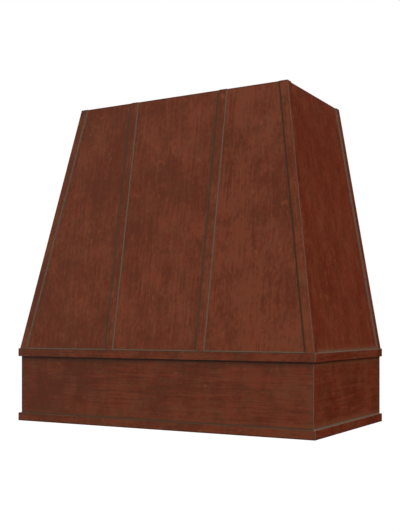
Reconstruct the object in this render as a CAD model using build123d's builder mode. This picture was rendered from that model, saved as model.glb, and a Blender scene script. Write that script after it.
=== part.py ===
from build123d import *
import os
from math import atan, ceil, cos, hypot, radians, tan

# Wooden range hood cover: a boxed apron with block trim, and above it tapered panels with flat straps.
# Millimetres, +X right, +Y to the wall, +Z up. The origin is level with the rim, under the middle of
# the whole outline. The back is open and lies against the wall.

# ---- Driving dimensions ----

box_width = 914.4  # across the apron boards, 36 in
box_depth = 495.0  # from the apron's face to the wall
height = 914.4  # from the rim to the open top, 36 in
base_height = 210.0  # from the rim to the top of the apron
taper_run = 127.0  # how far the front and each side lean in, 5 in

board = 19.0  # thickness of the apron boards, rails, stiles and cleats, 3/4 in
panel = 12.7  # thickness of the tapered panels, square to their face, 1/2 in

trim_height = 23.0
trim_projection = 7.0
trim_arris = 1.0  # the trim's eased outer edges

strap_width = 24.0
strap_proud = 3.2  # level distance that a strap stands off its panel
mid_strap_spread = 287.2  # between the middle lines of the two middle straps

liner_recess = 12.0  # the liner rails sit this far above the rim
liner_rail_height = 38.0
waist_rail_drop = 38.0  # how far the waist rails reach below the apron's top
waist_rail_rise = 38.0  # and how far above it
top_rail_height = 38.0
stile_width = 40.0
back_rail_height = 80.0
block_leg = 30.0  # legs of the triangular corner blocks and hip battens

hood_cleat_height = 90.0  # at its front face
wall_cleat_height = 76.0  # at its front face, before the play
cleat_play = 1.0  # keeps the wall cleat off the stiles in front of it
cleat_end_play = 4.0  # between each end of the wall cleat and the panel beside it

stud_spacing = 406.4  # 16 in, between the middles of the wall's studs
wall_hole_radius = 3.0
wall_sink_radius = 6.0
cleat_hole_rows = 30.0  # between the two rows of holes in the wall cleat
cleat_hole_rise = 33.0  # from the wall cleat's foot to the middle of its holes
rail_hole_rows = 40.0  # between the two rows of holes in the back rail

liner_hole_spread = 600.0  # between the insert's fixing holes, left to right
liner_hole_radius = 1.75
liner_hole_depth = 15.0

screw_radius = 2.0
screw_head_radius = 4.0
screw_length = 32.0
short_screw_length = 25.0
screw_tip = 6.0
screw_play = 0.1  # all round, between a screw and its hole
drive_width = 2.4  # square drive recess
drive_depth = 1.6
sink_angle = 82.0
rail_screw_pitch = 200.0  # at most, between the screws along a rail
liner_screw_edge = 12.0  # from the liner rails' top edge down to their screws

# ---- Levels and planes that follow ----

half = box_width / 2
wall = (box_depth + trim_projection) / 2
face = wall - box_depth
stile_front = wall - 2 * board
cleat_front = wall - board + cleat_play

lean_slope = taper_run / (height - base_height)
panel_level = panel / cos(atan(lean_slope))  # the panels' thickness measured level

liner_top = liner_recess + liner_rail_height
back_rail_low = base_height - back_rail_height
waist_low = base_height - waist_rail_drop
waist_high = base_height + waist_rail_rise
top_rail_low = height - top_rail_height
bevel_front = height - hood_cleat_height  # where the cleats' 45 degree bevel meets the stiles
bevel_back = bevel_front - board  # and where it meets the wall
wall_cleat_low = bevel_front - wall_cleat_height

sides = {"left": -1, "right": 1}


def lean(level):
    """How far in the tapered outer faces lie at a level."""
    return lean_slope * (level - base_height)


def spread(low, high, pitch):
    """Even places from low to high, at most a pitch apart, that start and end half a space in."""
    count = ceil((high - low) / pitch)
    space = (high - low) / count
    return [low + space * (index + 0.5) for index in range(count)]


# ---- Sections, as (inset from the box's outer face, level), and how they lie on the object ----


def bar(near, far, low, high):
    """An upright rectangle."""
    return [(near, low), (far, low), (far, high), (near, high)]


def leaning(near, far, low, high):
    """A band that leans in with the tapered faces."""
    foot = lean(low)
    top = lean(high)
    return [(near + foot, low), (far + foot, low), (far + top, high), (near + top, high)]


def on_front(section):
    """A section of the front as (Y, Z)."""
    return [(face + inset, level) for inset, level in section]


def on_side(side, section):
    """A section of a side as (X, Z)."""
    return [(side * (half - inset), level) for inset, level in section]


# ---- Screws and their holes ----


def drill(heads, length=screw_length):
    """Countersunk pilot holes below the given head planes, in the piece being made."""
    if heads:
        with Locations(*heads):
            CounterSinkHole(
                radius=screw_radius + screw_play,
                counter_sink_radius=screw_head_radius + screw_play,
                depth=length + screw_play,
                counter_sink_angle=sink_angle,
            )


def drill_for_wall(front, middle, rows):
    """Countersunk holes for four wall screws, two to a stud, in the piece being made."""
    with Locations(Plane((0, front, middle), x_dir=(1, 0, 0), z_dir=(0, -1, 0))):
        with GridLocations(stud_spacing, rows, 2, 2):
            CounterSinkHole(
                radius=wall_hole_radius,
                counter_sink_radius=wall_sink_radius,
                depth=board,
                counter_sink_angle=sink_angle,
            )


def drill_for_liner(middle):
    """Two pilot holes for the insert's screws, up into a liner rail whose middle is at Y = middle."""
    with Locations(Plane((0, middle, liner_recess), x_dir=(1, 0, 0), z_dir=(0, 0, -1))):
        with GridLocations(liner_hole_spread, 1, 2, 1):
            Hole(radius=liner_hole_radius, depth=liner_hole_depth)


def screw(length):
    """A countersunk cabinet screw with a square drive, its head's face on the XY plane, pointing down."""
    head_height = (screw_head_radius - screw_radius) / tan(radians(sink_angle / 2))
    with BuildPart() as piece:
        with BuildSketch(Plane.XZ):
            Polygon(
                (0, 0),
                (screw_head_radius, 0),
                (screw_radius, -head_height),
                (screw_radius, screw_tip - length),
                (0, -length),
                align=None,
            )
        revolve(axis=Axis.Z)
        with BuildSketch(Plane.XY):
            Rectangle(drive_width, drive_width)
        extrude(amount=-drive_depth, mode=Mode.SUBTRACT)
    return piece.part


def screw_set(heads, length=screw_length):
    """A screw at each head plane, as separate solids."""
    one = screw(length)
    with BuildPart() as piece:
        with Locations(*heads):
            add(one)
    return piece


def rail_heads(run, inset, level, back, slope=0.0):
    """Head planes of the screws driven outwards through a rail whose inner face has this inset."""
    if run == "front":
        places = spread(inset - half, half - inset, rail_screw_pitch)
        return [Plane((x, face + inset, level), z_dir=(0, 1, -slope)) for x in places]
    side = sides[run]
    places = spread(face + inset, back, rail_screw_pitch)
    return [Plane((side * (half - inset), y, level), z_dir=(-side, 0, -slope)) for y in places]


def liner_heads(run):
    return rail_heads(run, 2 * board, liner_top - liner_screw_edge, wall - board)


def waist_heads(run):
    return rail_heads(run, 2 * board, (waist_low + base_height) / 2, stile_front)


def top_heads(run):
    level = (top_rail_low + height) / 2
    return rail_heads(run, panel_level + board + lean(level), level, stile_front, lean_slope)


def liner_end_head(side):
    """On the back liner rail, for a screw driven forwards into the end of a side liner rail."""
    middle = half - 1.5 * board
    return Plane((side * middle, wall, (liner_recess + liner_top) / 2), z_dir=(0, 1, 0))


def stile_heads(side):
    """On a back stile, for screws driven backwards into the back rail and the hood cleat."""
    low_levels = spread(back_rail_low, base_height, back_rail_height / 2)
    high_levels = spread(bevel_front, height, hood_cleat_height / 2)
    spots = [(half - (board + panel_level + stile_width) / 2, level) for level in low_levels]
    spots += [(half - panel_level - lean(level) - stile_width / 2, level) for level in high_levels]
    return [Plane((side * x, stile_front, level), z_dir=(0, -1, 0)) for x, level in spots]


# ---- Ways of making a board ----


def mitre(side):
    """The upright plane between the front run and a side run. Its normal points to the side run."""
    return Plane((side * half, face, 0), z_dir=(side, 1, 0))


def mitred_run(run, section, back=wall):
    """One run of a ring of boards with mitred front corners. A side run ends at Y = back."""
    with BuildPart() as piece:
        if run == "front":
            with BuildSketch(Plane.YZ):
                Polygon(*on_front(section), align=None)
            extrude(amount=box_width, both=True)
            for side in sides.values():
                split(bisect_by=mitre(side), keep=Keep.BOTTOM)
        else:
            with BuildSketch(Plane.XZ.offset(-back)):
                Polygon(*on_side(sides[run], section), align=None)
            extrude(amount=2 * box_depth)
            split(bisect_by=mitre(sides[run]), keep=Keep.TOP)
    return piece


def two_view_piece(from_front, from_side):
    """The solid that shows one outline (X, Z) from the front and another (Y, Z) from the side."""
    with BuildPart() as piece:
        with BuildSketch(Plane.XZ):
            Polygon(*from_front, align=None)
        extrude(amount=box_depth, both=True)
        with BuildSketch(Plane.YZ):
            Polygon(*from_side, align=None)
        extrude(amount=box_width, both=True, mode=Mode.INTERSECT)
    return piece


def corner_piece(side, inset, low, high):
    """A triangular stick in an inside front corner, which leans in with the taper above the apron."""
    shift = lean(high) - lean(low) if low >= base_height else 0.0
    x = side * (half - inset)
    y = face + inset
    with BuildPart() as piece:
        with BuildSketch(Plane.XY.offset(low)):
            Polygon((x, y), (x - side * block_leg, y), (x, y + block_leg), align=None)
        extrude(amount=hypot(shift, shift, high - low), dir=(-side * shift, shift, high - low))
    return piece


def save(piece, label):
    piece.part.label = label
    export_step(piece.part, f"parts/{label}.step")


# ---- Outer boards, trim and straps ----


def apron(run):
    blank = mitred_run(run, bar(0, board, 0, base_height))
    with BuildPart() as piece:
        add(blank.part)
        drill(liner_heads(run) + waist_heads(run))
    save(piece, f"apron_{run}")


def block_trim(run, name, low):
    """A bar with eased outer edges, on the apron's face."""
    high = low + trim_height
    front = -trim_projection
    eased = front + trim_arris
    section = [
        (0, low),
        (0, high),
        (eased, high),
        (front, high - trim_arris),
        (front, low + trim_arris),
        (eased, low),
    ]
    save(mitred_run(run, section), f"{name}_{run}")


def tapered_panel(run):
    blank = mitred_run(run, leaning(0, panel_level, base_height, height))
    with BuildPart() as piece:
        add(blank.part)
        drill(top_heads(run), short_screw_length)
    save(piece, f"panel_{run}")


def front_corner_strap(name, side):
    """Over the hip: it covers the front panel's edge and the edge of the side strap behind it."""
    from_front = on_side(side, leaning(-strap_proud, strap_width - strap_proud, base_height, height))
    from_side = on_front(leaning(-strap_proud, 0, base_height, height))
    save(two_view_piece(from_front, from_side), f"strap_front_corner_{name}")


def front_mid_strap(name, side):
    middle = side * mid_strap_spread / 2
    from_front = bar(middle - strap_width / 2, middle + strap_width / 2, base_height, height)
    from_side = on_front(leaning(-strap_proud, 0, base_height, height))
    save(two_view_piece(from_front, from_side), f"strap_front_mid_{name}")


def side_front_strap(name, side):
    from_front = on_side(side, leaning(-strap_proud, 0, base_height, height))
    from_side = on_front(leaning(0, strap_width - strap_proud, base_height, height))
    save(two_view_piece(from_front, from_side), f"strap_{name}_front")


def side_rear_strap(name, side):
    from_front = on_side(side, leaning(-strap_proud, 0, base_height, height))
    from_side = bar(wall - strap_width, wall, base_height, height)
    save(two_view_piece(from_front, from_side), f"strap_{name}_rear")


# ---- Rails, blocks and battens inside ----


def liner_rail(run):
    """Round the bottom opening. The insert's frame is screwed up into it."""
    blank = mitred_run(run, bar(board, 2 * board, liner_recess, liner_top), back=wall - board)
    with BuildPart() as piece:
        add(blank.part)
        drill(liner_heads(run))
        if run == "front":
            drill_for_liner(face + 1.5 * board)
        else:
            drill([liner_end_head(sides[run])])
    save(piece, f"liner_rail_{run}")


def back_liner_rail():
    blank = two_view_piece(
        bar(board - half, half - board, liner_recess, liner_top),
        bar(wall - board, wall, liner_recess, liner_top),
    )
    with BuildPart() as piece:
        add(blank.part)
        drill([liner_end_head(side) for side in sides.values()])
        drill_for_liner(wall - board / 2)
    save(piece, "liner_rail_back")


def waist_rail(run):
    """Rabbeted over the apron's top edge, and bevelled above it to back the tapered panel."""
    section = [
        (board, waist_low),
        (2 * board, waist_low),
        (2 * board, waist_high),
        (panel_level + lean(waist_high), waist_high),
        (panel_level, base_height),
        (board, base_height),
    ]
    blank = mitred_run(run, section, back=stile_front)
    with BuildPart() as piece:
        add(blank.part)
        drill(waist_heads(run))
    save(piece, f"waist_rail_{run}")


def top_rail(run):
    section = leaning(panel_level, panel_level + board, top_rail_low, height)
    blank = mitred_run(run, section, back=stile_front)
    with BuildPart() as piece:
        add(blank.part)
        drill(top_heads(run), short_screw_length)
    save(piece, f"top_rail_{run}")


def corner_block(name, side):
    save(corner_piece(side, board, liner_top, waist_low), f"corner_block_{name}")


def hip_batten(name, side):
    save(corner_piece(side, panel_level + lean(waist_high), waist_high, top_rail_low), f"hip_batten_{name}")


# ---- Boards at the wall ----


def back_stile(name, side):
    """Upright against a side's inner face, in front of the back rail and the cleats."""
    section = [
        (board, back_rail_low),
        (board, base_height),
        (panel_level, base_height),
        (panel_level + taper_run, height),
        (panel_level + taper_run + stile_width, height),
        (panel_level + stile_width, base_height),
        (panel_level + stile_width, back_rail_low),
    ]
    blank = two_view_piece(on_side(side, section), bar(stile_front, wall - board, back_rail_low, height))
    with BuildPart() as piece:
        add(blank.part)
        drill(stile_heads(side))
    save(piece, f"back_stile_{name}")


def back_rail():
    """Between the apron's sides, screwed to the studs from inside."""
    blank = two_view_piece(
        bar(board - half, half - board, back_rail_low, base_height),
        bar(wall - board, wall, back_rail_low, base_height),
    )
    with BuildPart() as piece:
        add(blank.part)
        drill(stile_heads(-1) + stile_heads(1))
        drill_for_wall(wall - board, (back_rail_low + base_height) / 2, rail_hole_rows)
    save(piece, "back_rail")


def hood_cleat():
    """Across the back at the top. Its bevelled foot hooks behind the wall cleat's lip."""
    low_half = half - panel_level - lean(bevel_back)
    high_half = half - panel_level - lean(height)
    blank = two_view_piece(
        [(-low_half, bevel_back), (low_half, bevel_back), (high_half, height), (-high_half, height)],
        [(wall - board, bevel_front), (wall, bevel_back), (wall, height), (wall - board, height)],
    )
    with BuildPart() as piece:
        add(blank.part)
        drill(stile_heads(-1) + stile_heads(1))
    save(piece, "hood_cleat")


def wall_cleat():
    """Screwed to the studs first. The cover is lowered on to its bevel, and lifts off it again."""
    reach = half - panel_level - lean(bevel_front) - cleat_end_play
    blank = two_view_piece(
        bar(-reach, reach, wall_cleat_low, bevel_front),
        [
            (cleat_front, wall_cleat_low),
            (wall, wall_cleat_low),
            (wall, bevel_back),
            (cleat_front, bevel_front - cleat_play),
        ],
    )
    with BuildPart() as piece:
        add(blank.part)
        drill_for_wall(cleat_front, wall_cleat_low + cleat_hole_rise, cleat_hole_rows)
    save(piece, "wall_cleat")


def screw_sets():
    runs = ["front", "left", "right"]
    end_heads = [liner_end_head(side) for side in sides.values()]
    save(screw_set(sum(map(liner_heads, runs), end_heads)), "liner_rail_screws")
    save(screw_set(sum(map(waist_heads, runs), [])), "waist_rail_screws")
    save(screw_set(sum(map(top_heads, runs), []), short_screw_length), "top_rail_screws")
    save(screw_set(stile_heads(-1) + stile_heads(1)), "stile_screws")


# ---- The whole cover ----

os.makedirs("parts", exist_ok=True)

for run in ["front", "left", "right"]:
    apron(run)
    block_trim(run, "lower_trim", 0)
    block_trim(run, "upper_trim", base_height - trim_height)
    tapered_panel(run)
    liner_rail(run)
    waist_rail(run)
    top_rail(run)

for name, side in sides.items():
    front_corner_strap(name, side)
    front_mid_strap(name, side)
    side_front_strap(name, side)
    side_rear_strap(name, side)
    corner_block(name, side)
    hip_batten(name, side)
    back_stile(name, side)

back_liner_rail()
back_rail()
hood_cleat()
wall_cleat()
screw_sets()
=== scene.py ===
"""A wooden range hood cover: boards, trim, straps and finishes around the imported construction."""

from collections import namedtuple
from functools import reduce
from itertools import count
from math import pi, radians

import bmesh
import bpy
import numpy as np
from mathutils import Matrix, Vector


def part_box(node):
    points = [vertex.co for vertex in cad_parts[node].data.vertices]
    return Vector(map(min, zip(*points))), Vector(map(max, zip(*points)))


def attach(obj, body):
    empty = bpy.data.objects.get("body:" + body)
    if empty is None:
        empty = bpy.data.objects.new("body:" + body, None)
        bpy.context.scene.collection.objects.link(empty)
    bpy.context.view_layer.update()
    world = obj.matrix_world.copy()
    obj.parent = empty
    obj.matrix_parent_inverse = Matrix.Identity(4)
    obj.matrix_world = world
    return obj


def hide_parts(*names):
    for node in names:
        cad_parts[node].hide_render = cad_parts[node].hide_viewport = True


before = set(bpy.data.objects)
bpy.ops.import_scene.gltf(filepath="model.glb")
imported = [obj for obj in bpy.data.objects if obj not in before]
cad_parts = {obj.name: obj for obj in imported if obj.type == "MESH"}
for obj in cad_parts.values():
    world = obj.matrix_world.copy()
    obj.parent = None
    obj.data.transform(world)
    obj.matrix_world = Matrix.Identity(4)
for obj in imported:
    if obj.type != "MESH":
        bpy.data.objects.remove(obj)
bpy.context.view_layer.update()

# ---- Sizes, in metres, read off the construction ----

apron_low, apron_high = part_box("apron_front")
half_width = apron_high.x
apron_face = apron_low.y
apron_board = apron_high.y - apron_low.y
base_height = apron_high.z

rear_strap_low, rear_strap_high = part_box("strap_right_rear")
wall = rear_strap_high.y
height = rear_strap_high.z
strap_proud = rear_strap_high.x - half_width
strap_width = wall - rear_strap_low.y
taper_run = half_width - rear_strap_low.x
lean_slope = taper_run / (height - base_height)
panel_level = rear_strap_low.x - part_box("panel_right")[0].x

mid_strap_low, mid_strap_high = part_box("strap_front_mid_right")
mid_strap = (mid_strap_low.x + mid_strap_high.x) / 2

trim_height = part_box("lower_trim_front")[1].z
trim_projection = apron_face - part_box("lower_trim_front")[0].y
upper_trim_foot = base_height - trim_height

# The radius of each kind of eased edge, and of the corners where two mitred boards meet
apron_arris = 0.0006
apron_corner = 0.0009
trim_arris = 0.0011
trim_corner = 0.0016
strap_arris = 0.0007
inner_arris = 0.0006
# How many faces the arc of an eased edge or corner has on the outer pieces
arris_steps = 3
# Only edges longer than this are eased on the inner boards.
shortest_eased = 0.008

# The two sides, each with its direction along X, and the runs of the ring, each with the kind of its finish
sides = {"left": -1, "right": 1}
runs = {"front": "front", "left": "side", "right": "side"}

# ---- Meshes ----


def lean(level):
    """How far in the tapered faces lie at a level."""
    return lean_slope * (level - base_height)


def unit(vectors):
    """The vectors, each divided by its length."""
    return vectors / np.linalg.norm(vectors, axis=-1, keepdims=True)


def rounded(corners):
    """A closed outline with its corners eased, and the finish of each of its sides.

    A corner is (a, b, radius, finish of the side that follows). The arc's centre lies on the corner's
    bisector, radius / sin(half the corner's angle) away, and its points turn evenly from one tangent point
    to the other: (sin((1 - w) t) start + sin(w t) end) / sin(t), with t the angle that the arc turns through.
    An arc has the finish with the lower number of the two sides that it joins.
    """
    table = np.array(corners, float)
    corner, radius, finish = table[:, :2], table[:, 2:3], table[:, 3].astype(int)
    behind = unit(np.roll(corner, 1, 0) - corner)
    ahead = unit(np.roll(corner, -1, 0) - corner)
    half_angle = np.arccos(np.clip((behind * ahead).sum(1, keepdims=True), -1, 1)) / 2
    centre = corner + unit(behind + ahead) * radius / np.sin(half_angle)
    start = corner + behind * radius / np.tan(half_angle) - centre
    end = corner + ahead * radius / np.tan(half_angle) - centre
    turn = (pi - 2 * half_angle)[:, None]
    weight = np.linspace(0, 1, arris_steps + 1)[None, :, None]
    swept = np.sin((1 - weight) * turn) * start[:, None] + np.sin(weight * turn) * end[:, None]
    points = centre[:, None] + swept / np.sin(turn)
    kept = np.ones(points.shape[:2], bool)
    kept[:, 1:] = radius > 0
    before = np.minimum(np.roll(finish, 1), finish)
    side_finish = np.repeat(before[:, None], arris_steps + 1, 1)
    side_finish[:, -1] = finish
    side_finish[radius[:, 0] == 0, 0] = finish[radius[:, 0] == 0]
    return points[kept], side_finish[kept]


def closed(values):
    """The values round an outline, with the first one again at the end."""
    return np.concatenate([values, values[..., :1]], -1)


def girth(outline):
    """How far along a closed outline each of its points lies from the first, and the whole way round."""
    steps = np.roll(outline, -1, 0) - outline
    return np.append(0, np.cumsum(np.linalg.norm(steps, axis=1)))


def stand_in(node, mesh, materials):
    """Makes the mesh a piece that stands for a node. Its eased edges are shaded smooth, its faces flat."""
    mesh.polygons.foreach_set("use_smooth", np.ones(len(mesh.polygons), bool))
    mesh.set_sharp_from_angle(angle=radians(40))
    for material in materials:
        mesh.materials.append(material)
    piece = bpy.data.objects.new(f"dressed_{node}", mesh)
    bpy.context.scene.collection.objects.link(piece)
    flatten = piece.modifiers.new("flat faces stay flat", "WEIGHTED_NORMAL")
    flatten.keep_sharp = True
    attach(piece, "wall_cleat" if node == "wall_cleat" else "cover")
    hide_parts(node)


def shell(node, grid, uv, finish, materials, depth=None):
    """A closed board from a grid of points [station, place on the outline], with a cap at each end.

    The finish of each side of the outline picks its material, and the caps have the second one. The map has
    one column more than the grid, since the outline's first point is also its last.
    """
    stations, around = grid.shape[:2]
    index = np.arange(stations * around).reshape(stations, around)
    following = np.roll(index, -1, 1)
    quads = np.stack([index[:-1], index[1:], following[1:], following[:-1]], -1).reshape(-1, 4)
    caps = [index[0].tolist(), index[-1][::-1].tolist()]
    mesh = bpy.data.meshes.new(node)
    mesh.from_pydata(grid.reshape(-1, 3).tolist(), [], quads.tolist() + caps)
    slots = np.append(np.tile(finish, stations - 1), [1, 1])
    mesh.polygons.foreach_set("material_index", slots.astype(np.int32))
    quad_uv = np.stack([uv[:-1, :-1], uv[1:, :-1], uv[1:, 1:], uv[:-1, 1:]], 2).reshape(-1, 2)
    loop_uv = np.concatenate([quad_uv, uv[0, :-1], uv[-1, -2::-1]])
    mesh.uv_layers.new(name="grain").data.foreach_set("uv", loop_uv.astype(np.float32).ravel())
    if depth is not None:
        attribute = mesh.attributes.new("depth", "FLOAT", "POINT")
        attribute.data.foreach_set("value", np.tile(depth, stations).astype(np.float32))
    shape = bmesh.new()
    shape.from_mesh(mesh)
    bmesh.ops.remove_doubles(shape, verts=shape.verts, dist=1e-6)
    bmesh.ops.dissolve_degenerate(shape, edges=shape.edges, dist=1e-7)
    bmesh.ops.recalc_face_normals(shape, faces=shape.faces)
    shape.to_mesh(mesh)
    shape.free()
    stand_in(node, mesh, materials)


def run_board(node, run, corners, radius, surface, materials, upright=False):
    """A board of one run of the ring, cut on the mitre planes at its front corners.

    Each place on its outline is (outset from the apron's face, level), and surface gives the outset of the
    board's face at a level. A place that lies deeper than that face follows a tighter arc round the corner:
    its radius is the corner's, less that depth. The arc's centre is that radius inside the place's own
    corner, and the mitre plane halves the arc.
    """
    outline, finish = rounded(corners)
    outset, level = outline.T
    depth = surface(level) - outset
    bend = np.maximum(radius - depth, 0)[None]
    across = half_width + outset[None] - bend
    along = apron_face - outset[None] + bend
    turn = np.linspace(0, pi / 4, arris_steps + 1)[:, None]
    if run == "front":
        arc_x = across + bend * np.sin(turn)
        arc_y = along - bend * np.cos(turn)
        x = np.concatenate([-arc_x[::-1], arc_x])
        y = np.concatenate([arc_y[::-1], arc_y])
        place = x
    else:
        turn = turn + pi / 4
        x = np.concatenate([across + bend * np.sin(turn), half_width + outset[None]]) * sides[run]
        y = np.concatenate([along - bend * np.cos(turn), np.full_like(across, wall)])
        place = y
    grid = np.stack([x, y, np.broadcast_to(level, x.shape)], -1)
    place = closed(place)
    around = np.broadcast_to(girth(outline), place.shape)
    uv = np.stack([place, around] if upright else [around, place], -1)
    shell(node, grid, uv, finish, materials, depth)


def leaning_stick(node, corners, drift, materials):
    """A strap: its plan outline goes up from the apron's top, and drifts by (x, y) times the lean."""
    outline, finish = rounded(corners)
    levels = np.array([base_height, height])
    shift = lean(levels)[:, None] * np.array(drift)
    plan = outline[None] + shift[:, None]
    grid = np.concatenate([plan, np.broadcast_to(levels[:, None, None], plan.shape[:2] + (1,))], -1)
    climb = levels[:, None] * np.hypot(1, lean_slope)
    uv = np.stack(np.broadcast_arrays(girth(outline)[None], climb), -1)
    shell(node, grid, uv, finish, materials)


def eased_copy(node, material, width):
    """The construction's own solid with its long edges eased. Small holes keep their edges."""
    shape = bmesh.new()
    shape.from_mesh(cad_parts[node].data)
    bmesh.ops.remove_doubles(shape, verts=shape.verts, dist=1e-5)
    bmesh.ops.dissolve_limit(shape, angle_limit=radians(0.5), verts=shape.verts, edges=shape.edges)
    if width:
        long_edges = [edge for edge in shape.edges if edge.calc_length() > shortest_eased]
        sharp = [edge for edge in long_edges if edge.calc_face_angle(0) > radians(25)]
        bmesh.ops.bevel(
            shape, geom=sharp, offset=width, segments=2, profile=0.5, affect="EDGES", clamp_overlap=True
        )
    mesh = bpy.data.meshes.new(node)
    shape.to_mesh(mesh)
    shape.free()
    places = np.empty(3 * len(mesh.vertices), np.float32)
    mesh.vertices.foreach_get("co", places)
    mesh.vertices.foreach_set("co", np.clip(places.reshape(-1, 3), *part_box(node)).ravel())
    stand_in(node, mesh, [material])


# ---- Shader arithmetic ----


class Wire:
    """A shader socket that takes part in arithmetic. Each operator adds a Math node."""

    def __init__(self, finish, socket):
        self.finish = finish
        self.socket = socket

    def __add__(self, other):
        return self.finish.math("ADD", self, other)

    def __sub__(self, other):
        return self.finish.math("SUBTRACT", self, other)

    def __mul__(self, other):
        return self.finish.math("MULTIPLY", self, other)

    def __truediv__(self, other):
        return self.finish.math("DIVIDE", self, other)

    def __radd__(self, other):
        return self.finish.math("ADD", other, self)

    def __rsub__(self, other):
        return self.finish.math("SUBTRACT", other, self)

    def __rmul__(self, other):
        return self.finish.math("MULTIPLY", other, self)

    def __abs__(self):
        return self.finish.math("ABSOLUTE", self)


class Finish:
    """The nodes of a material, or of the world."""

    def __init__(self, owner):
        owner.use_nodes = True
        self.owner = owner
        self.tree = owner.node_tree
        self.tree.nodes.clear()

    def node(self, kind, settings=None, output=0, **inputs):
        """Adds a node: first its settings, then a value or a link for each socket. Gives one of its outputs.

        A ramp's stops are a setting too: the place and the colour of each. A socket is named by its words
        with _ between them, or by its number after a _, and an output by its name or number.
        """
        made = self.tree.nodes.new(kind)
        for key, value in (settings or {}).items():
            if key == "stops":
                for place, colour in value:
                    made.color_ramp.elements.new(place).color = colour
                made.color_ramp.elements.remove(made.color_ramp.elements[0])
                made.color_ramp.elements.remove(made.color_ramp.elements[-1])
            else:
                setattr(made, key, value)
        for key, value in inputs.items():
            place = int(key[1:]) if key[0] == "_" else key.replace("_", " ")
            socket = made.inputs[place]
            if isinstance(value, Wire):
                self.tree.links.new(value.socket, socket)
            else:
                socket.default_value = value
        return Wire(self, made.outputs[output]) if made.outputs else made

    def math(self, operation, first, second=0.0):
        """The value that a Math node gives."""
        return self.node("ShaderNodeMath", {"operation": operation}, _0=first, _1=second)

    def highest(self, values):
        """The highest of some values."""
        return reduce(lambda one, other: self.math("MAXIMUM", one, other), values)

    def vector(self, operation, first, second, output="Vector"):
        """The vector, or the value, that a Vector Math node gives."""
        return self.node("ShaderNodeVectorMath", {"operation": operation}, output, _0=first, _1=second)

    def mix(self, factor, first, second, blend="MIX"):
        """A blend of two colours."""
        settings = {"data_type": "RGBA", "blend_type": blend}
        return self.node("ShaderNodeMix", settings, 2, _0=factor, _6=first, _7=second)

    def smooth(self, value, low, high, start=0.0, end=1.0):
        """A smooth step from start to end as the value goes from low to high."""
        settings = {"interpolation_type": "SMOOTHSTEP"}
        return self.node("ShaderNodeMapRange", settings, _0=value, _1=low, _2=high, _3=start, _4=end)

    def noise(self, place, scale, detail=2.0, roughness=0.5, distortion=0.0):
        """Noise from 0 to 1, 0.5 on average, with a scale in waves per metre."""
        return self.node(
            "ShaderNodeTexNoise",
            {"noise_dimensions": "3D"},
            Vector=place,
            Scale=scale,
            Detail=detail,
            Roughness=roughness,
            Distortion=distortion,
        )

    def placed(self, place, scale, shift=(0, 0, 0)):
        """The place, scaled along each axis and then shifted."""
        return self.node("ShaderNodeMapping", Vector=place, Location=shift, Scale=scale)

    def plane(self, place, normal, offset):
        """Distance from the plane where place . normal = offset."""
        length = Vector(normal).length
        along_normal = self.vector("DOT_PRODUCT", place, tuple(Vector(normal) / length), "Value")
        return abs(along_normal - offset / length)

    def surface(self, color, roughness, normal, **constants):
        """The shader and the material's output. Gives the material."""
        shader = self.node(
            "ShaderNodeBsdfPrincipled",
            Base_Color=color,
            Roughness=roughness,
            Normal=normal,
            **constants,
        )
        self.node("ShaderNodeOutputMaterial", Surface=shader)
        return self.owner


def shade(red, green, blue, alpha=1.0):
    """A colour written in screen values from 0 to 255, as the linear values that shaders use."""
    value = np.array([red, green, blue]) / 255
    linear = np.where(value <= 0.04045, value / 12.92, ((value + 0.055) / 1.055) ** 2.4)
    return (*linear.tolist(), alpha)


# ---- Finishes ----

# The stain's dark, middle and light colour, and the tones at which they lie. It is one stain: the side's copy
# is darker and redder than the front's, a painted shade, and the front's greyer copy is a painted sheen
stains = {
    "front": (shade(85, 38, 19), shade(95, 45, 25), shade(106, 52, 31)),
    "side": (shade(84, 31, 15), shade(93, 39, 21), shade(104, 48, 28)),
}
stain_tones = (0.2, 0.5, 0.8)

# How far red, green and blue swing as the hue turns, and how far from 0 the noise is where it has turned
hue_swing = np.array([0.03, -0.05, -0.06])
hue_span = 0.22

# The noise at which a fleck starts and at which it is full, and how much of the stain it then covers
fleck_peaks = (0.18, 0.28)
fleck_cover = 0.3
light_fleck = shade(134, 72, 42)
dark_fleck = shade(74, 30, 24)

# How far the noise shifts from one number to the next, so that no two boards have the same figure
stained_shift = np.array([1.37, 2.11, 0.73])
bare_shift = np.array([1.9, 0.77, 1.31])

# What shows along the seams, in the order in which it is laid on: stain rubbed thin; burnt glaze, which under
# the upper trim is also a painted shadow; dark glaze with painted shade beside the edges that face away from
# the light;
# olive, the colour of glaze in shade, as painted shade beside those edges and as a film along corners and
# ledges;
# an orange painted bounce light above the ledges and under the upper trim; and glaze dried pale in the corner
# itself, which beside the edges that face the light is also a painted highlight
tints = {
    "rubbed": shade(112, 44, 26),
    "burnt": shade(38, 16, 6),
    "dark": shade(54, 40, 20),
    "olive": shade(52, 50, 37),
    "painted_bounce_light": shade(112, 62, 38),
    "light": shade(92, 81, 68),
}

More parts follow.
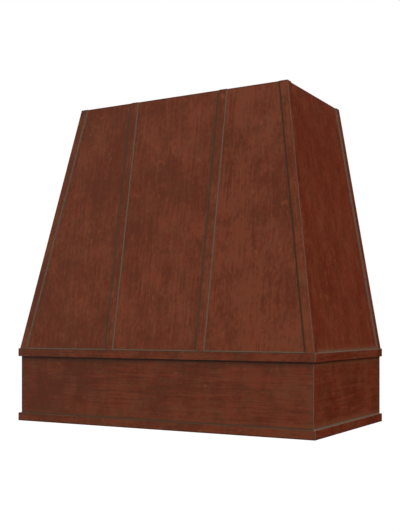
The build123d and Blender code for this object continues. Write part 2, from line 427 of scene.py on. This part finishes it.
# How strong each layer of the figure is, from hair to cloud, how far the cloud stretches along the grain, how
# far the hue swings, how much greener it is, and how much lighter and redder the board gets to the right, per
# metre, a painted light that falls stronger on the right
Figure = namedtuple(
    "Figure", "hair, fibre, streak, fleck, mottle, cloud, stretch, swing, greener, lightening, reddening"
)
figures = {
    "front panel": Figure(0.9, 0.7, 0.4, 1.05, 1.0, 0.95, 1.4, 1.3, 0.0, 0.26, 0.1),
    "side panel": Figure(0.5, 0.5, 0.4, 0.95, 0.75, 0.4, 1.5, 1.3, 0.0, 0.0, 0.0),
    "front apron": Figure(0.9, 0.8, 0.35, 0.75, 0.8, 1.2, 0.55, 1.9, 0.015, 0.5, 0.1),
    "side apron": Figure(0.8, 0.65, 0.35, 0.7, 0.8, 1.05, 0.75, 1.9, 0.0, 0.0, 0.0),
    "front stick": Figure(1.0, 0.8, 0.3, 1.2, 1.0, 1.0, 0.8, 1.9, 0.0, 0.26, 0.1),
    "side stick": Figure(1.0, 0.8, 0.3, 1.2, 1.0, 1.0, 0.8, 1.9, 0.0, 0.0, 0.0),
}

# The front panel is faced with three sheets of veneer: how sharp their joints are, where the outer two are
# cut from, seen from the middle one, and how much bolder the figure of the right one is
joint_blur = 0.0005
right_sheet = (3.1, 1.7)
left_sheet = (5.3, -2.9)
right_boldness = 0.25


def three_sheets(finish, grain, across, joint):
    """The grain of the middle sheet of veneer and of one on each side of it, and how bold each one is."""
    right = finish.smooth(across, joint - joint_blur, joint + joint_blur)
    left = finish.smooth(0 - across, joint - joint_blur, joint + joint_blur)
    sheet_x = right * right_sheet[0] + left * left_sheet[0]
    sheet_y = right * right_sheet[1] + left * left_sheet[1]
    sheet = finish.node("ShaderNodeCombineXYZ", _0=sheet_x, _1=sheet_y)
    return finish.vector("ADD", grain, sheet), right * right_boldness + 1


def glaze_and_painted_light_seams(finish, color, spot, uneven, seams):
    """The colour with the seams' tints on it: glaze, painted light and painted shade. A tint fades out at
    about its seam's reach, unevenly.
    """

    def line(strength, reach, normal, offset):
        """How much of a seam's tint is on a spot."""
        away = finish.plane(spot, normal, offset) / (reach * (0.7 + uneven * 0.6))
        return finish.smooth(away, 0.35, 1.0, strength, 0.0)

    for tint, glaze in tints.items():
        lines = [line(*seam) for seam_tint, *seam in seams if seam_tint == tint]
        if lines:
            color = finish.mix(finish.highest(lines), color, glaze)
    return color


def stained_wood(name, kind, part, number, seams=(), lighter=0.0, joint=None, glazed=None):
    """Stained veneer, with the grain along the map's second coordinate, and glaze, painted light and painted
    shade along the seams.

    The kind of run and the part pick the stain and the figure. The tone is the sum of the figure's layers,
    each times its strength, and a ramp gives it the stain's colours. The number is the board's own. A seam
    is (tint, strength, reach, normal, offset) of a plane. A joint is how far from the middle the front's
    three sheets of veneer meet. A glazed piece keeps the glaze all over, in the colour given.
    """
    finish = Finish(bpy.data.materials.new(name))
    grain = finish.node("ShaderNodeTexCoord", output="UV")
    spot = finish.node("ShaderNodeTexCoord", output="Object")
    across = finish.node("ShaderNodeSeparateXYZ", output="X", _0=spot)
    figure = figures[f"{kind} {part}"]
    boldness = 1.0
    if joint:
        grain, boldness = three_sheets(finish, grain, across, joint)

    def layer(scale, stretch, detail=2, roughness=0.5, distortion=0.0):
        """Noise from -0.5 to 0.5 that is longer along the grain than across it by the stretch."""
        place = finish.placed(grain, (1, 1 / stretch, 1), (number * stained_shift).tolist())
        return finish.noise(place, scale, detail, roughness, distortion) - 0.5

    # The finest hair is raised in some patches and faint in others.
    patches = finish.smooth(layer(scale=13, stretch=2, detail=1), -0.15, 0.15, 0.5, 1.4)
    hair = layer(scale=420, stretch=30, detail=1) * patches
    fibre = layer(scale=150, stretch=22, detail=3, roughness=0.6)
    streak = layer(scale=50, stretch=7, distortion=0.3)
    fleck = layer(scale=130, stretch=1.5, roughness=0.6)
    mottle = layer(scale=22, stretch=(1 + figure.stretch) / 2, distortion=0.5)
    cloud = layer(scale=8, stretch=figure.stretch)

    # A figure starts with the strengths of these layers, in this order.
    # Painted light: the tone rises towards the right, where the light falls stronger.
    tone = across * figure.lightening + (0.5 + lighter)
    for strength, strand in zip(figure, (hair, fibre, streak, fleck, mottle, cloud)):
        tone = tone + strand * (boldness * strength)
    color = finish.node("ShaderNodeValToRGB", {"stops": zip(stain_tones, stains[kind])}, Fac=tone)

    # The hue turns between red and green, in blotches and in finer strands.
    blotches = layer(scale=18, stretch=1.5, detail=4, roughness=0.75)
    # The same painted light turns the hue redder towards the right.
    hue = blotches + layer(scale=110, stretch=4) * 0.9 - across * figure.reddening
    turn = finish.smooth(hue, -hue_span - figure.greener, hue_span - figure.greener)
    redder = (*(1 + hue_swing * figure.swing).tolist(), 1)
    greener = (*(1 - hue_swing * figure.swing).tolist(), 1)
    color = finish.mix(1.0, color, finish.mix(turn, redder, greener), "MULTIPLY")

    # Only the highest and the lowest peaks of this layer make a fleck.
    spots = layer(scale=70, stretch=2, detail=1)
    color = finish.mix(finish.smooth(spots, *fleck_peaks, 0.0, fleck_cover), color, light_fleck)
    color = finish.mix(finish.smooth(0 - spots, *fleck_peaks, 0.0, fleck_cover), color, dark_fleck)

    uneven = finish.noise(spot, 70, 3, 0.6)
    color = glaze_and_painted_light_seams(finish, color, spot, uneven, seams)
    if glazed:
        color = finish.mix(0.75 + uneven * 0.3, color, glazed)

    roughness = 0.38 + fibre * 0.15 + cloud * 0.1
    relief = fibre + fleck * 0.3
    bump = finish.node("ShaderNodeBump", Strength=0.25, Distance=0.0002, Height=relief)
    return finish.surface(color, roughness, bump, Specular_IOR_Level=0.11)


def bare_wood(name, number, along, tone=(222, 187, 144)):
    """Planed, unfinished wood, with its year rings drawn out along the grain."""
    finish = Finish(bpy.data.materials.new(name))
    spot = finish.node("ShaderNodeTexCoord", output="Object")
    stretch = tuple(1 / 16 if axis == along else 1.0 for axis in "XYZ")
    long_grain = finish.placed(spot, stretch, (number * bare_shift).tolist())
    fibre = finish.noise(long_grain, 260, 4, 0.6)
    warp = finish.noise(long_grain, 9, 2, 0.5)
    band = finish.math("SINE", (warp - 0.5) * 60 + fibre * 1.5)
    late_wood = shade(*[value * 0.88 for value in tone])
    color = finish.mix(0.5 + band * 0.22 + (fibre - 0.5) * 0.9, late_wood, shade(*tone))
    bump = finish.node("ShaderNodeBump", Strength=0.4, Distance=0.0002, Height=fibre)
    return finish.surface(color, 0.62 + (fibre - 0.5) * 0.15, bump, Specular_IOR_Level=0.3)


def layered_edge(name, ply=0.00145, border=(0.00062, 0.00082)):
    """The edge of plywood: plies across its thickness, every second one showing its end grain.

    The border is how far from the middle of a light ply the darker colour starts, and how far it is full.
    """
    finish = Finish(bpy.data.materials.new(name))
    depth = finish.node("ShaderNodeAttribute", {"attribute_name": "depth"}, "Fac")
    spot = finish.node("ShaderNodeTexCoord", output="Object")
    rough_grain = finish.noise(spot, 900, 3, 0.6)
    long_grain = finish.noise(finish.placed(spot, (0.15, 0.15, 1)), 300, 3, 0.6)
    into_ply = finish.math("PINGPONG", depth + (long_grain - 0.5) * 0.0003, ply)
    turned = finish.smooth(into_ply, *border)
    color = finish.mix(turned, shade(206, 172, 128), shade(150, 112, 74))
    color = finish.mix((rough_grain - 0.35) * turned, color, shade(96, 66, 42))
    relief = rough_grain * turned
    bump = finish.node("ShaderNodeBump", Strength=0.5, Distance=0.0002, Height=relief)
    return finish.surface(color, 0.75, bump, Specular_IOR_Level=0.2)


def zinc(name):
    """Yellowish zinc plate, clouded, as screws have it."""
    finish = Finish(bpy.data.materials.new(name))
    spot = finish.node("ShaderNodeTexCoord", output="Object")
    cloud = finish.noise(spot, 700, 3, 0.6)
    color = finish.mix(cloud, shade(176, 166, 128), shade(214, 208, 186))
    bump = finish.node("ShaderNodeBump", Strength=0.2, Distance=0.00005, Height=cloud)
    return finish.surface(color, 0.28 + cloud * 0.2, bump, Metallic=1.0)


ply_edge = layered_edge("plywood_edge")
plain_inside = {axis: bare_wood(f"bare_veneer_{axis.lower()}", 3, axis, (220, 182, 136)) for axis in "XYZ"}
bare = {axis: bare_wood(f"bare_wood_{axis.lower()}", 8, axis) for axis in "XYZ"}
zinc_plate = zinc("zinc_plate")

# ---- Seams, each (tint, strength, reach, normal, offset) ----

up = (0, 0, 1)
back = (0, 1, 0)
strap_edge = half_width + strap_proud


def hip_line(side, inset=0.0):
    """The plane of a line on the front that leans with a hip, inset from the corner strap's outer edge."""
    return (side, 0, lean_slope), strap_edge - inset + lean_slope * base_height


def side_line(inset=0.0):
    """The plane of a line on a side that leans with the front, inset from the front's face."""
    return (0, 1, -lean_slope), apron_face + inset - lean_slope * base_height


def front_corners(tint, strength, reach, outset=0.0):
    """The seams along the two front corners, seen on the front, at an outset from the apron's face."""
    return [(tint, strength, reach, (side, 0, 0), half_width + outset) for side in sides.values()]


def side_corner(tint, strength, reach, outset=0.0):
    """The seam along a front corner, seen on the side, and the darker edge at the wall."""
    return [(tint, strength, reach, back, apron_face - outset), back_edge]


back_edge = ("burnt", 0.6, 0.006, back, wall)
top_edge = ("burnt", 0.35, 0.005, up, height)
rim_edge = ("burnt", 0.6, 0.004, up, 0)

apron_seams = {
    "front": [
        *front_corners("light", 0.85, 0.0015),
        *front_corners("olive", 0.3, 0.005),
        ("olive", 0.7, 0.006, up, trim_height),
        # Painted bounce light above the lower trim's ledge.
        ("painted_bounce_light", 0.2, 0.018, up, trim_height),
        # Under the upper trim: burnt glaze with a painted shadow, and olive glaze below it.
        ("burnt", 0.85, 0.0045, up, upper_trim_foot),
        ("olive", 0.2, 0.018, up, upper_trim_foot),
    ],
    "side": [
        *side_corner("light", 0.95, 0.0028),
        ("rubbed", 0.3, 0.04, back, apron_face),
        ("light", 1.0, 0.0052, up, trim_height),
        # Painted bounce light above the lower trim's ledge, and under the upper trim, where it lightens the
        # shadow.
        ("painted_bounce_light", 0.5, 0.022, up, trim_height),
        ("painted_bounce_light", 0.75, 0.018, up, upper_trim_foot),
    ],
}
trim_seams = {
    "lower_trim_front": [
        *front_corners("light", 0.6, 0.0012, trim_projection),
        *front_corners("olive", 0.25, 0.007, trim_projection),
        ("olive", 0.4, 0.003, up, trim_height),
    ],
    "upper_trim_front": [
        *front_corners("light", 0.6, 0.0012, trim_projection),
        *front_corners("olive", 0.35, 0.008, trim_projection),
        ("olive", 0.65, 0.004, up, base_height),
    ],
    "lower_trim_side": side_corner("light", 0.85, 0.004, trim_projection),
    "upper_trim_side": [
        *side_corner("light", 0.85, 0.004, trim_projection),
        ("rubbed", 0.35, 0.04, back, apron_face - trim_projection),
        ("light", 0.9, 0.003, up, base_height),
    ],
}
panel_seams = {
    "front": [
        # Beside the straps' left edges, which face away from the light, olive glaze as a painted shade;
        # beside their right edges, which face it, pale glaze with a painted highlight.
        *[("olive", 0.5, 0.011, (1, 0, 0), side * mid_strap - strap_width / 2) for side in sides.values()],
        *[("light", 0.9, 0.0017, (1, 0, 0), side * mid_strap + strap_width / 2) for side in sides.values()],
        # Pale glaze with a painted highlight beside the left corner strap, and dark glaze with painted shade
        # beside the right one.
        ("light", 1.0, 0.0019, *hip_line(-1, strap_width)),
        ("dark", 0.9, 0.005, *hip_line(1, strap_width)),
        ("light", 0.7, 0.003, up, base_height),
        ("olive", 0.25, 0.005, up, base_height),
    ],
    "side": [
        # Dark glaze with painted shade beside the front strap's back edge, and pale glaze with a painted
        # highlight beside the rear strap's front edge.
        ("dark", 0.3, 0.004, *side_line(strap_width - strap_proud)),
        ("light", 0.8, 0.006, back, wall - strap_width),
        ("light", 0.35, 0.008, up, base_height),
        # Painted bounce light above the upper trim's ledge.
        ("painted_bounce_light", 0.22, 0.02, up, base_height),
    ],
}

# The glaze on the ledges of the trim and on the steps of the straps
trim_ledges = {
    "lower_trim_front": shade(68, 60, 47),
    "upper_trim_front": shade(92, 83, 70),
    "lower_trim_side": shade(98, 87, 74),
    "upper_trim_side": shade(84, 72, 57),
}
step_glaze = shade(100, 89, 76)

# How much lighter than the rest each kind of board came out of the stain
apron_tones = {"front": -0.01, "side": 0.03}
trim_tones = {
    "lower_trim_front": 0.05,
    "upper_trim_front": 0.02,
    "lower_trim_side": -0.02,
    "upper_trim_side": 0.09,
}
strap_tone = -0.02

# ---- Apron, trim and panels ----


def apron(run, number):
    """A board of the box, with plywood layers on its top edge."""
    kind = runs[run]
    tone = apron_tones[kind]
    stained = stained_wood(f"stained_apron_{run}", kind, "apron", number, apron_seams[kind], tone)
    run_board(
        f"apron_{run}",
        run,
        [
            (0, 0, apron_arris, 0),
            (0, base_height, 0, 1),
            (-apron_board, base_height, 0, 2),
            (-apron_board, 0, apron_arris, 0),
        ],
        apron_corner,
        lambda level: 0.0,
        [stained, ply_edge, plain_inside["X" if run == "front" else "Y"]],
    )


def trim(place, run, foot, number):
    """A length of block trim, with glaze on its ledge."""
    kind = runs[run]
    row = f"{place}_{kind}"
    seams = [*trim_seams[row], rim_edge]
    stained = stained_wood(f"stained_{place}_{run}", kind, "stick", number, seams, trim_tones[row])
    ledge = stained_wood(f"glazed_{place}_{run}", kind, "stick", number, glazed=trim_ledges[row])
    run_board(
        f"{place}_{run}",
        run,
        [
            (0, foot, 0, 0),
            (trim_projection, foot, trim_arris, 0),
            (trim_projection, foot + trim_height, trim_arris, 2),
            (0, foot + trim_height, 0, 1),
        ],
        trim_corner,
        lambda level: trim_projection,
        [stained, stained, ledge],
    )


def panel(run, number):
    """A tapered panel, with plywood layers on its top edge."""
    kind = runs[run]
    joint = mid_strap if run == "front" else None
    seams = [*panel_seams[kind], top_edge]
    stained = stained_wood(f"stained_panel_{run}", kind, "panel", number, seams, joint=joint)
    run_board(
        f"panel_{run}",
        run,
        [
            (0, base_height, 0, 0),
            (-taper_run, height, 0, 1),
            (-taper_run - panel_level, height, 0, 2),
            (-panel_level, base_height, 0, 2),
        ],
        0.0,
        lambda level: -lean(level),
        [stained, ply_edge, plain_inside["Z"]],
        upright=True,
    )


board_numbers = count(1)
for run in runs:
    apron(run, next(board_numbers))
    trim("lower_trim", run, 0.0, next(board_numbers))
    trim("upper_trim", run, upper_trim_foot, next(board_numbers))
    panel(run, next(board_numbers))

# ---- Straps ----


def strap(node, kind, number, start, end, drift, finishes, seams=()):
    """A strap between two opposite corners of its plan.

    Its finishes are those of its four sides, from the one between the first two corners on: 0 stained,
    2 glazed. The two corners on its outer face are eased.
    """
    stained = stained_wood(f"stained_{node}", kind, "stick", number, [*seams, top_edge], strap_tone)
    glazed = stained_wood(f"glazed_{node}", kind, "stick", number, glazed=step_glaze)
    places = [start, (end[0], start[1]), end, (start[0], end[1])]
    radii = [strap_arris, strap_arris, 0, 0] if kind == "front" else [strap_arris, 0, 0, strap_arris]
    corners = [(*place, radius, finish) for place, radius, finish in zip(places, radii, finishes)]
    leaning_stick(node, corners, drift, [stained, stained, glazed])


# The inner edge of the left corner strap faces the light: pale glaze with a painted highlight. That of the
# right one faces away: dark glaze with painted shade.
inner_edges = {"left": ("light", 0.9, 0.003), "right": ("dark", 0.9, 0.0035)}
for name, side in sides.items():
    strap(
        f"strap_front_corner_{name}",
        "front",
        next(board_numbers),
        (side * strap_edge, apron_face - strap_proud),
        (side * (strap_edge - strap_width), apron_face),
        (-side, 1),
        (0, 2, 2, 0),
        [
            ("light", 0.4, 0.0012, *hip_line(side)),
            ("olive", 0.2, 0.005, *hip_line(side)),
            ("light", 0.2, 0.0008, *side_line()),
            (*inner_edges[name], *hip_line(side, strap_width)),
        ],
    )
    left_edge = side * mid_strap - strap_width / 2
    right_edge = side * mid_strap + strap_width / 2
    strap(
        f"strap_front_mid_{name}",
        "front",
        next(board_numbers),
        (right_edge, apron_face - strap_proud),
        (left_edge, apron_face),
        (0, 1),
        (0, 2, 2, 2),
        [
            # The right edge faces the light: pale glaze with a painted highlight. The left edge: olive glaze
            # as a painted shade.
            ("light", 0.8, 0.0016, (1, 0, 0), right_edge),
            ("olive", 0.2, 0.006, (1, 0, 0), right_edge),
            ("olive", 0.45, 0.0045, (1, 0, 0), left_edge),
        ],
    )
    strap(
        f"strap_{name}_front",
        "side",
        next(board_numbers),
        (side * strap_edge, apron_face),
        (side * half_width, apron_face + strap_width - strap_proud),
        (-side, 1),
        (2, 2, 2, 0),
    )
    strap(
        f"strap_{name}_rear",
        "side",
        next(board_numbers),
        (side * strap_edge, wall - strap_width),
        (side * half_width, wall),
        (-side, 0),
        (2, 2, 2, 0),
        # The front edge faces the light: pale glaze with a painted highlight.
        [("light", 0.8, 0.002, back, wall - strap_width), back_edge],
    )

# ---- Rails, blocks, battens and the boards at the wall ----

grain_along = {"front": "X", "back": "X", "left": "Y", "right": "Y"}
inner_boards = {f"liner_rail_{run}": grain for run, grain in grain_along.items()}
for rail in ("waist_rail", "top_rail"):
    inner_boards |= {f"{rail}_{run}": grain_along[run] for run in runs}
for stick in ("corner_block", "hip_batten", "back_stile"):
    inner_boards |= {f"{stick}_{name}": "Z" for name in sides}
inner_boards |= {"back_rail": "X", "hood_cleat": "X", "wall_cleat": "X"}
for node, grain in inner_boards.items():
    eased_copy(node, bare[grain], inner_arris)
for place in ("liner_rail", "waist_rail", "top_rail", "stile"):
    eased_copy(f"{place}_screws", zinc_plate, 0)

# ---- Floor, light and camera ----

white = (1, 1, 1, 1)


def staged(name, corners, material):
    """Flat cards around the object that aren't part of it, with four corners each."""
    mesh = bpy.data.meshes.new(name)
    quads = np.arange(len(corners)).reshape(-1, 4).tolist()
    mesh.from_pydata(corners, [], quads)
    mesh.materials.append(material)
    card = bpy.data.objects.new(name, mesh)
    bpy.context.scene.collection.objects.link(card)
    return card


def seen_plainly(finish):
    """1 on rays from the camera, in reflections and through glass, and 0 on those that only light."""
    kinds = ("Is Camera Ray", "Is Glossy Ray", "Is Transmission Ray")
    return finish.highest([finish.node("ShaderNodeLightPath", output=kind) for kind in kinds])


def pale_floor():
    """A floor that keeps a soft shadow, and is white to the camera without lighting the object."""
    finish = Finish(bpy.data.materials.new("pale_floor"))
    matt = finish.node("ShaderNodeBsdfDiffuse", Color=(0.15, 0.15, 0.15, 1))
    glow = finish.node("ShaderNodeEmission", Color=white, Strength=seen_plainly(finish) * 0.8)
    both = finish.node("ShaderNodeAddShader", _0=matt, _1=glow)
    finish.node("ShaderNodeOutputMaterial", Surface=both)
    return finish.owner


def black_card():
    """A black that takes light away from reflections."""
    finish = Finish(bpy.data.materials.new("black_card"))
    matt = finish.node("ShaderNodeBsdfDiffuse", Color=(0.01, 0.01, 0.01, 1))
    finish.node("ShaderNodeOutputMaterial", Surface=matt)
    return finish.owner


def white_room(light=0.475):
    """A world that is white to the camera, and lights the object with less."""
    finish = Finish(bpy.data.worlds.new("white_room"))
    strength = seen_plainly(finish) * (1 - light) + light
    background = finish.node("ShaderNodeBackground", Color=white, Strength=strength)
    finish.node("ShaderNodeOutputWorld", Surface=background)
    return finish.owner


def soft_sun(name, comes_from, strength, spread, mirrored=True):
    """A broad, even light from a direction, which glossy surfaces mirror or don't."""
    lamp = bpy.data.lights.new(name, "SUN")
    lamp.energy = strength
    lamp.angle = radians(spread)
    holder = bpy.data.objects.new(name, lamp)
    holder.rotation_euler = Vector(comes_from).to_track_quat("Z", "Y").to_euler()
    holder.visible_glossy = mirrored
    bpy.context.scene.collection.objects.link(holder)


# The cover hangs on a wall, so the floor lies well below it.
floor_level = -1.65
floor_reach = 60.0
floor_corners = [
    (x * floor_reach, y * floor_reach, floor_level) for x, y in ((-1, -1), (1, -1), (1, 1), (-1, 1))
]
staged("floor", floor_corners, pale_floor())

bpy.context.scene.world = white_room()
soft_sun("key", (0.49, -0.36, 0.93), 4.05, 75)
soft_sun("fill_from_behind", (-0.6, 0.78, 0.15), 2.0, 40, mirrored=False)

# A dark card stands behind each side, which only reflections see.
card_near, card_far, card_foot, card_head, card_place = 0.34, 8, -3, 6, 0.5
card_edges = [(card_near, card_foot), (card_far, card_foot), (card_far, card_head), (card_near, card_head)]
card_corners = [(side * x, card_place, z) for side in sides.values() for x, z in card_edges]
cards = staged("dark_cards", card_corners, black_card())
for ray in ("camera", "diffuse", "transmission", "shadow", "volume_scatter"):
    setattr(cards, f"visible_{ray}", False)

# The camera stands level where the photograph was taken from, and its view is shifted up to hold the cover.
camera_data = bpy.data.cameras.new("camera")
camera_data.lens = 59.68
camera_data.sensor_width = 36.0
camera_data.shift_y = 0.1139
camera = bpy.data.objects.new("camera", camera_data)
camera.location = (1.27440, -2.21787, 0.27312)
camera.rotation_euler = (radians(90), 0, radians(29.8268))
bpy.context.scene.collection.objects.link(camera)
bpy.context.scene.camera = camera

bpy.context.scene.view_settings.view_transform = "Standard"
